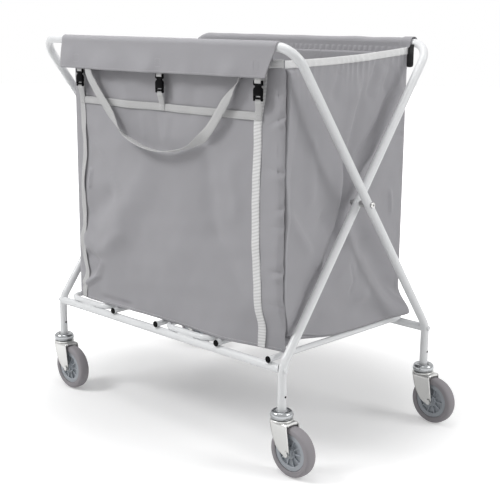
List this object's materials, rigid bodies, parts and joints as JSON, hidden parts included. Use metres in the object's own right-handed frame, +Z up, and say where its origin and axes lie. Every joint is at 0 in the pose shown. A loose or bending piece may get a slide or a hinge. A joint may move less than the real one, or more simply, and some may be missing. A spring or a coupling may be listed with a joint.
{
  "type": "folding linen trolley",
  "caption": "Folding laundry and linen trolley: crossed white tube frames on swivel casters carry a grey fabric bag with a strapped front flap over hoop base racks.",
  "frame": {"origin": "on the floor, midway between the feet of the two crossed frames", "axes": "+X along the top bars, towards the end the casters trail to; +Y from the flap side to the open side; +Z up"},
  "size_m": [1.071, 0.59, 1.0228],
  "materials": {
    "powder_coat": "semi-gloss white powder coat",
    "zinc_steel": "bright zinc plating",
    "bright_cup": "polished plating",
    "grey_rubber": "matt non-marking rubber",
    "rim_plastic": "satin moulded plastic",
    "black_plastic": "satin moulded plastic",
    "bag_cloth": "close plain-woven polyester",
    "white_tape": "woven binding tape",
    "webbing": "herringbone webbing",
    "hook_tape": "black hook-and-loop tape"
  },
  "bodies": {
    "pivots": {"pivot_bolt_left": "zinc_steel", "pivot_bolt_right": "zinc_steel", "pivot_spacer_left": "zinc_steel", "pivot_spacer_right": "zinc_steel", "pivot_nut_left": "zinc_steel", "pivot_nut_right": "zinc_steel"},
    "outer": {"outer_frame": "powder_coat", "saddles_rear": "black_plastic", "rack_bolts_rear": "powder_coat", "caster_rl_head": "bright_cup", "caster_rr_head": "bright_cup"},
    "inner": {"inner_frame": "powder_coat", "saddles_front": "black_plastic", "rack_bolts_front": "powder_coat", "caster_fl_head": "bright_cup", "caster_fr_head": "bright_cup"},
    "front_rack": {"stretcher_front": "powder_coat", "hoop_front_1": "powder_coat", "hoop_front_2": "powder_coat", "hoop_caps_front": "black_plastic"},
    "rear_rack": {"stretcher_rear": "powder_coat", "hoop_rear_1": "powder_coat", "hoop_rear_2": "powder_coat", "hoop_caps_rear": "black_plastic"},
    "front_panel": {"front_flap": "bag_cloth", "bag_front": "bag_cloth", "bag_webbing": "webbing", "buckle_sockets": "black_plastic", "carry_handle": "webbing"},
    "rear_panel": {"rear_sleeve": "bag_cloth", "bag_rear": "bag_cloth", "hook_strap_rear": "hook_tape"},
    "bag": {"bag_left": "bag_cloth", "bag_right": "bag_cloth", "bag_floor": "bag_cloth", "bag_binding": "white_tape"},
    "swivel_fl": {"caster_fl_fork": "zinc_steel", "caster_fl_axle": "zinc_steel"},
    "wheel_fl": {"caster_fl_tyre": "grey_rubber", "caster_fl_rim": "rim_plastic"},
    "swivel_fr": {"caster_fr_fork": "zinc_steel", "caster_fr_axle": "zinc_steel"},
    "wheel_fr": {"caster_fr_tyre": "grey_rubber", "caster_fr_rim": "rim_plastic"},
    "swivel_rl": {"caster_rl_fork": "zinc_steel", "caster_rl_axle": "zinc_steel"},
    "wheel_rl": {"caster_rl_tyre": "grey_rubber", "caster_rl_rim": "rim_plastic"},
    "swivel_rr": {"caster_rr_fork": "zinc_steel", "caster_rr_axle": "zinc_steel"},
    "wheel_rr": {"caster_rr_tyre": "grey_rubber", "caster_rr_rim": "rim_plastic"},
    "tongue_left": {"buckle_tongue_left": "black_plastic", "tongue_strap_left": "webbing"},
    "tongue_middle": {"buckle_tongue_middle": "black_plastic", "tongue_strap_middle": "webbing"},
    "tongue_right": {"buckle_tongue_right": "black_plastic", "tongue_strap_right": "webbing"}
  },
  "joints": [
    {"name": "fold_outer", "type": "hinge", "parent": "pivots", "child": "outer", "pos_m": [0, 0, 0.62677], "axis": [-1, 0, 0], "range_deg": [0, 21], "deforming": ["bag_front", "bag_rear", "bag_left", "bag_right", "bag_floor", "bag_binding"]},
    {"name": "fold_inner", "type": "hinge", "parent": "pivots", "child": "inner", "pos_m": [0, 0, 0.62677], "axis": [1, 0, 0], "range_deg": [0, 21]},
    {"name": "front_rack_lift", "type": "hinge", "parent": "inner", "child": "front_rack", "pos_m": [0, -0.265, 0.258], "axis": [1, 0, 0], "range_deg": [0, 69]},
    {"name": "rear_rack_lift", "type": "hinge", "parent": "outer", "child": "rear_rack", "pos_m": [0, 0.265, 0.258], "axis": [-1, 0, 0], "range_deg": [0, 69]},
    {"name": "front_panel_hang", "type": "hinge", "parent": "outer", "child": "front_panel", "pos_m": [0, -0.28, 1.009], "axis": [1, 0, 0], "range_deg": [0, 21]},
    {"name": "rear_panel_hang", "type": "hinge", "parent": "inner", "child": "rear_panel", "pos_m": [0, 0.28, 1.009], "axis": [-1, 0, 0], "range_deg": [0, 21]},
    {"name": "bag_lift", "type": "slide", "parent": "pivots", "child": "bag", "axis": [0, 0, 1], "range_m": [0, 0.076]},
    {"name": "swivel_fl", "type": "hinge", "parent": "inner", "child": "swivel_fl", "pos_m": [-0.437, -0.265, 0.13], "axis": [0, 0, 1], "continuous": true},
    {"name": "roll_fl", "type": "hinge", "parent": "swivel_fl", "child": "wheel_fl", "pos_m": [-0.399, -0.265, 0.0625], "axis": [0, 1, 0], "continuous": true},
    {"name": "swivel_fr", "type": "hinge", "parent": "inner", "child": "swivel_fr", "pos_m": [0.437, -0.265, 0.13], "axis": [0, 0, 1], "continuous": true},
    {"name": "roll_fr", "type": "hinge", "parent": "swivel_fr", "child": "wheel_fr", "pos_m": [0.475, -0.265, 0.0625], "axis": [0, 1, 0], "continuous": true},
    {"name": "swivel_rl", "type": "hinge", "parent": "outer", "child": "swivel_rl", "pos_m": [-0.471, 0.265, 0.13], "axis": [0, 0, 1], "continuous": true},
    {"name": "roll_rl", "type": "hinge", "parent": "swivel_rl", "child": "wheel_rl", "pos_m": [-0.433, 0.265, 0.0625], "axis": [0, 1, 0], "continuous": true},
    {"name": "swivel_rr", "type": "hinge", "parent": "outer", "child": "swivel_rr", "pos_m": [0.471, 0.265, 0.13], "axis": [0, 0, 1], "continuous": true},
    {"name": "roll_rr", "type": "hinge", "parent": "swivel_rr", "child": "wheel_rr", "pos_m": [0.509, 0.265, 0.0625], "axis": [0, 1, 0], "continuous": true},
    {"name": "unclip_left", "type": "slide", "parent": "front_panel", "child": "tongue_left", "axis": [0, 0, 1], "range_m": [0, 0.018]},
    {"name": "unclip_middle", "type": "slide", "parent": "front_panel", "child": "tongue_middle", "axis": [0, 0, 1], "range_m": [0, 0.018]},
    {"name": "unclip_right", "type": "slide", "parent": "front_panel", "child": "tongue_right", "axis": [0, 0, 1], "range_m": [0, 0.018]}
  ],
  "couplings": [
    {"joint": "fold_inner", "follows": "fold_outer", "ratio": 1},
    {"joint": "front_rack_lift", "follows": "fold_outer", "ratio": 3.2857},
    {"joint": "rear_rack_lift", "follows": "fold_outer", "ratio": 3.2857},
    {"joint": "front_panel_hang", "follows": "fold_outer", "ratio": 1},
    {"joint": "rear_panel_hang", "follows": "fold_outer", "ratio": 1},
    {"joint": "bag_lift", "follows": "fold_outer", "m_per_rad": 0.20451}
  ]
}
